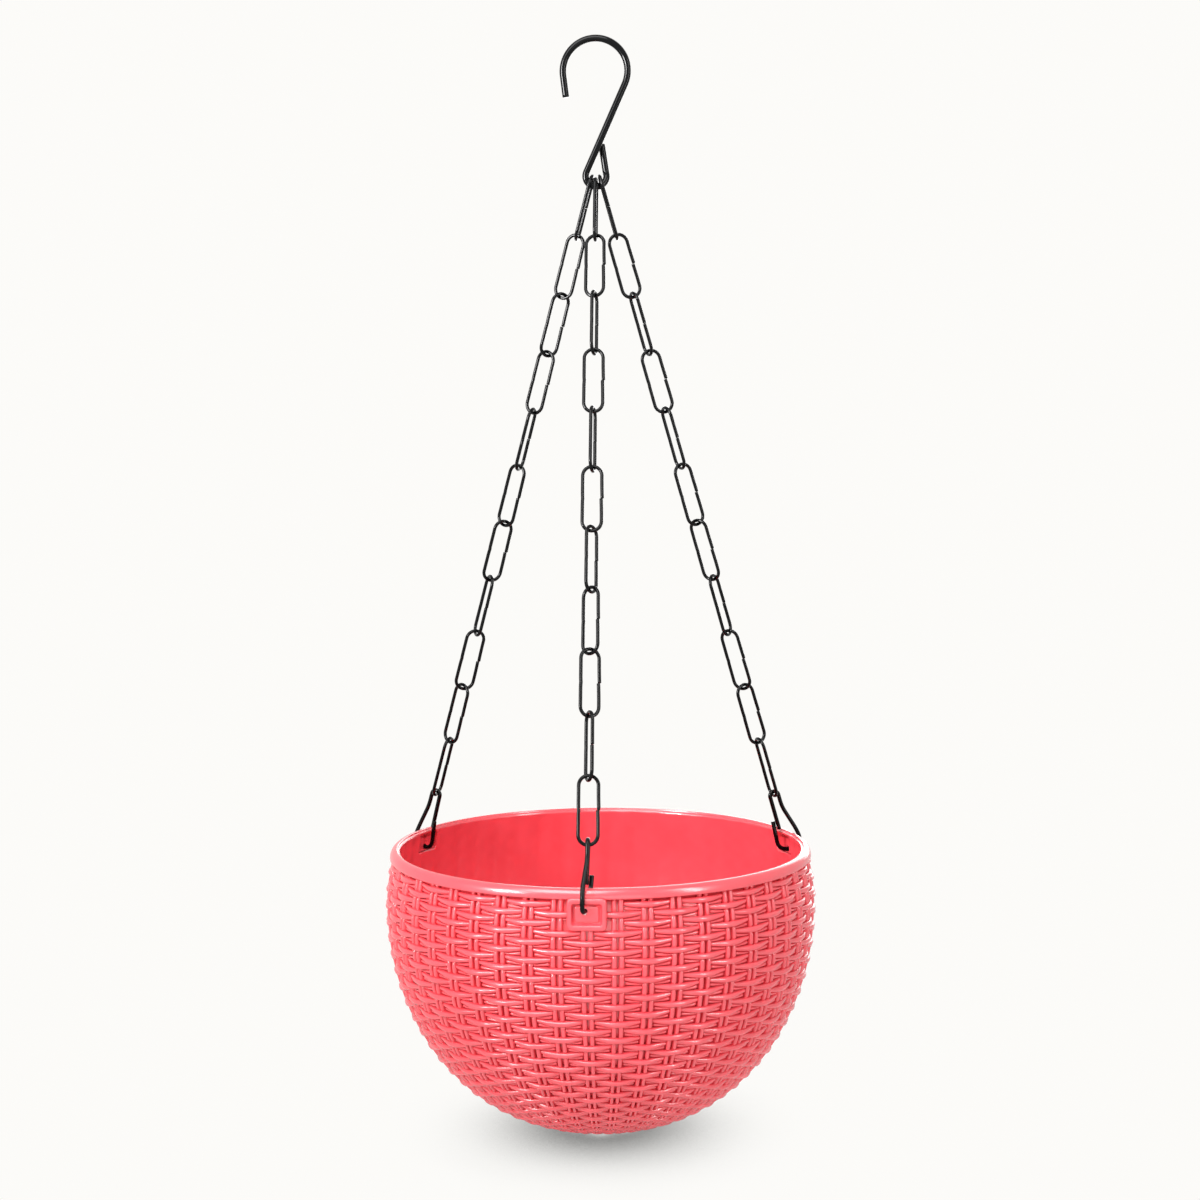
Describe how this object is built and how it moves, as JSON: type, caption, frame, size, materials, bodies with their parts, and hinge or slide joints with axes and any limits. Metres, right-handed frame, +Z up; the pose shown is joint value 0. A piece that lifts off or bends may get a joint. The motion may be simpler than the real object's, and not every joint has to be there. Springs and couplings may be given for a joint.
{
  "type": "hanging basket planter",
  "caption": "hemispherical woven-look plastic bowl hung by three open-link wire chains and rim clips from one S-shaped wire hook with a closed eye",
  "frame": {"origin": "the point under the hook's crown that rests on a bracket", "axes": "+Z up along the line of hang, -Y front (the side with the middle chain), +X right"},
  "size_m": [0.1996, 0.202, 0.5],
  "materials": {
    "hook": "glossy black coated steel wire",
    "chains": "glossy black coated steel wire",
    "clips": "glossy black coated steel wire",
    "basket": "semi-gloss moulded coral pink plastic with a woven relief"
  },
  "bodies": {
    "hook": {"hanging_hook": "hook"},
    "basket": {"basket": "basket"},
    "front_link_01": {"front_chain_link_01": "chains"},
    "front_link_02": {"front_chain_link_02": "chains"},
    "front_link_03": {"front_chain_link_03": "chains"},
    "front_link_04": {"front_chain_link_04": "chains"},
    "front_link_05": {"front_chain_link_05": "chains"},
    "front_link_06": {"front_chain_link_06": "chains"},
    "front_link_07": {"front_chain_link_07": "chains"},
    "front_link_08": {"front_chain_link_08": "chains"},
    "front_link_09": {"front_chain_link_09": "chains"},
    "front_link_10": {"front_chain_link_10": "chains"},
    "front_link_11": {"front_chain_link_11": "chains"},
    "front_clip": {"front_rim_clip": "clips"},
    "right_link_01": {"right_chain_link_01": "chains"},
    "right_link_02": {"right_chain_link_02": "chains"},
    "right_link_03": {"right_chain_link_03": "chains"},
    "right_link_04": {"right_chain_link_04": "chains"},
    "right_link_05": {"right_chain_link_05": "chains"},
    "right_link_06": {"right_chain_link_06": "chains"},
    "right_link_07": {"right_chain_link_07": "chains"},
    "right_link_08": {"right_chain_link_08": "chains"},
    "right_link_09": {"right_chain_link_09": "chains"},
    "right_link_10": {"right_chain_link_10": "chains"},
    "right_link_11": {"right_chain_link_11": "chains"},
    "right_clip": {"right_rim_clip": "clips"},
    "left_link_01": {"left_chain_link_01": "chains"},
    "left_link_02": {"left_chain_link_02": "chains"},
    "left_link_03": {"left_chain_link_03": "chains"},
    "left_link_04": {"left_chain_link_04": "chains"},
    "left_link_05": {"left_chain_link_05": "chains"},
    "left_link_06": {"left_chain_link_06": "chains"},
    "left_link_07": {"left_chain_link_07": "chains"},
    "left_link_08": {"left_chain_link_08": "chains"},
    "left_link_09": {"left_chain_link_09": "chains"},
    "left_link_10": {"left_chain_link_10": "chains"},
    "left_link_11": {"left_chain_link_11": "chains"},
    "left_clip": {"left_rim_clip": "clips"}
  },
  "joints": [
    {"name": "basket_swing", "type": "hinge", "parent": "hook", "child": "basket", "pos_m": [0, 0, -0.06485], "axis": [1, 0, 0], "range_deg": [-25, 25]},
    {"name": "front_link_01_twist", "type": "hinge", "parent": "basket", "child": "front_link_01", "pos_m": [0, 0, -0.0618], "axis": [0, 0.2932, 0.9561], "range_deg": [-5, 5]},
    {"name": "front_link_02_twist", "type": "hinge", "parent": "basket", "child": "front_link_02", "pos_m": [0, -0.00799, -0.08785], "axis": [0, 0.2932, 0.9561], "range_deg": [-8, 8]},
    {"name": "front_link_03_twist", "type": "hinge", "parent": "basket", "child": "front_link_03", "pos_m": [0, -0.01598, -0.11389], "axis": [0, 0.2932, 0.9561], "range_deg": [-8, 8]},
    {"name": "front_link_04_twist", "type": "hinge", "parent": "basket", "child": "front_link_04", "pos_m": [0, -0.02397, -0.13995], "axis": [0, 0.2932, 0.9561], "range_deg": [-8, 8]},
    {"name": "front_link_05_twist", "type": "hinge", "parent": "basket", "child": "front_link_05", "pos_m": [0, -0.03195, -0.16599], "axis": [0, 0.2932, 0.9561], "range_deg": [-8, 8]},
    {"name": "front_link_06_twist", "type": "hinge", "parent": "basket", "child": "front_link_06", "pos_m": [0, -0.03994, -0.19204], "axis": [0, 0.2932, 0.9561], "range_deg": [-8, 8]},
    {"name": "front_link_07_twist", "type": "hinge", "parent": "basket", "child": "front_link_07", "pos_m": [0, -0.04793, -0.21809], "axis": [0, 0.2932, 0.9561], "range_deg": [-8, 8]},
    {"name": "front_link_08_twist", "type": "hinge", "parent": "basket", "child": "front_link_08", "pos_m": [0, -0.05592, -0.24414], "axis": [0, 0.2932, 0.9561], "range_deg": [-8, 8]},
    {"name": "front_link_09_twist", "type": "hinge", "parent": "basket", "child": "front_link_09", "pos_m": [0, -0.06391, -0.27019], "axis": [0, 0.2932, 0.9561], "range_deg": [-8, 8]},
    {"name": "front_link_10_twist", "type": "hinge", "parent": "basket", "child": "front_link_10", "pos_m": [0, -0.0719, -0.29624], "axis": [0, 0.2932, 0.9561], "range_deg": [-8, 8]},
    {"name": "front_link_11_twist", "type": "hinge", "parent": "basket", "child": "front_link_11", "pos_m": [0, -0.07988, -0.32229], "axis": [0, 0.2932, 0.9561], "range_deg": [-8, 8]},
    {"name": "front_clip_twist", "type": "hinge", "parent": "basket", "child": "front_clip", "pos_m": [0, -0.08781, -0.34815], "axis": [0, 0.2932, 0.9561], "range_deg": [-5, 5]},
    {"name": "right_link_01_twist", "type": "hinge", "parent": "basket", "child": "right_link_01", "pos_m": [0.00156, 0, -0.06015], "axis": [-0.2652, -0.1118, 0.9577], "range_deg": [-5, 5]},
    {"name": "right_link_02_twist", "type": "hinge", "parent": "basket", "child": "right_link_02", "pos_m": [0.00882, 0.00306, -0.08635], "axis": [-0.2652, -0.1118, 0.9577], "range_deg": [-8, 8]},
    {"name": "right_link_03_twist", "type": "hinge", "parent": "basket", "child": "right_link_03", "pos_m": [0.01607, 0.00612, -0.11255], "axis": [-0.2652, -0.1118, 0.9577], "range_deg": [-8, 8]},
    {"name": "right_link_04_twist", "type": "hinge", "parent": "basket", "child": "right_link_04", "pos_m": [0.02333, 0.00918, -0.13875], "axis": [-0.2652, -0.1118, 0.9577], "range_deg": [-8, 8]},
    {"name": "right_link_05_twist", "type": "hinge", "parent": "basket", "child": "right_link_05", "pos_m": [0.03058, 0.01223, -0.16495], "axis": [-0.2652, -0.1118, 0.9577], "range_deg": [-8, 8]},
    {"name": "right_link_06_twist", "type": "hinge", "parent": "basket", "child": "right_link_06", "pos_m": [0.03784, 0.01529, -0.19115], "axis": [-0.2652, -0.1118, 0.9577], "range_deg": [-8, 8]},
    {"name": "right_link_07_twist", "type": "hinge", "parent": "basket", "child": "right_link_07", "pos_m": [0.04509, 0.01835, -0.21735], "axis": [-0.2652, -0.1118, 0.9577], "range_deg": [-8, 8]},
    {"name": "right_link_08_twist", "type": "hinge", "parent": "basket", "child": "right_link_08", "pos_m": [0.05234, 0.02141, -0.24355], "axis": [-0.2652, -0.1118, 0.9577], "range_deg": [-8, 8]},
    {"name": "right_link_09_twist", "type": "hinge", "parent": "basket", "child": "right_link_09", "pos_m": [0.0596, 0.02447, -0.26974], "axis": [-0.2652, -0.1118, 0.9577], "range_deg": [-8, 8]},
    {"name": "right_link_10_twist", "type": "hinge", "parent": "basket", "child": "right_link_10", "pos_m": [0.06685, 0.02753, -0.29594], "axis": [-0.2652, -0.1118, 0.9577], "range_deg": [-8, 8]},
    {"name": "right_link_11_twist", "type": "hinge", "parent": "basket", "child": "right_link_11", "pos_m": [0.07411, 0.03059, -0.32214], "axis": [-0.2652, -0.1118, 0.9577], "range_deg": [-8, 8]},
    {"name": "right_clip_twist", "type": "hinge", "parent": "basket", "child": "right_clip", "pos_m": [0.08131, 0.03362, -0.34815], "axis": [-0.2652, -0.1118, 0.9577], "range_deg": [-5, 5]},
    {"name": "left_link_01_twist", "type": "hinge", "parent": "basket", "child": "left_link_01", "pos_m": [-0.00156, 0, -0.06015], "axis": [0.2652, -0.1118, 0.9577], "range_deg": [-5, 5]},
    {"name": "left_link_02_twist", "type": "hinge", "parent": "basket", "child": "left_link_02", "pos_m": [-0.00882, 0.00306, -0.08635], "axis": [0.2652, -0.1118, 0.9577], "range_deg": [-8, 8]},
    {"name": "left_link_03_twist", "type": "hinge", "parent": "basket", "child": "left_link_03", "pos_m": [-0.01607, 0.00612, -0.11255], "axis": [0.2652, -0.1118, 0.9577], "range_deg": [-8, 8]},
    {"name": "left_link_04_twist", "type": "hinge", "parent": "basket", "child": "left_link_04", "pos_m": [-0.02333, 0.00918, -0.13875], "axis": [0.2652, -0.1118, 0.9577], "range_deg": [-8, 8]},
    {"name": "left_link_05_twist", "type": "hinge", "parent": "basket", "child": "left_link_05", "pos_m": [-0.03058, 0.01223, -0.16495], "axis": [0.2652, -0.1118, 0.9577], "range_deg": [-8, 8]},
    {"name": "left_link_06_twist", "type": "hinge", "parent": "basket", "child": "left_link_06", "pos_m": [-0.03784, 0.01529, -0.19115], "axis": [0.2652, -0.1118, 0.9577], "range_deg": [-8, 8]},
    {"name": "left_link_07_twist", "type": "hinge", "parent": "basket", "child": "left_link_07", "pos_m": [-0.04509, 0.01835, -0.21735], "axis": [0.2652, -0.1118, 0.9577], "range_deg": [-8, 8]},
    {"name": "left_link_08_twist", "type": "hinge", "parent": "basket", "child": "left_link_08", "pos_m": [-0.05234, 0.02141, -0.24355], "axis": [0.2652, -0.1118, 0.9577], "range_deg": [-8, 8]},
    {"name": "left_link_09_twist", "type": "hinge", "parent": "basket", "child": "left_link_09", "pos_m": [-0.0596, 0.02447, -0.26974], "axis": [0.2652, -0.1118, 0.9577], "range_deg": [-8, 8]},
    {"name": "left_link_10_twist", "type": "hinge", "parent": "basket", "child": "left_link_10", "pos_m": [-0.06685, 0.02753, -0.29594], "axis": [0.2652, -0.1118, 0.9577], "range_deg": [-8, 8]},
    {"name": "left_link_11_twist", "type": "hinge", "parent": "basket", "child": "left_link_11", "pos_m": [-0.07411, 0.03059, -0.32214], "axis": [0.2652, -0.1118, 0.9577], "range_deg": [-8, 8]},
    {"name": "left_clip_twist", "type": "hinge", "parent": "basket", "child": "left_clip", "pos_m": [-0.08131, 0.03362, -0.34815], "axis": [0.2652, -0.1118, 0.9577], "range_deg": [-5, 5]}
  ]
}
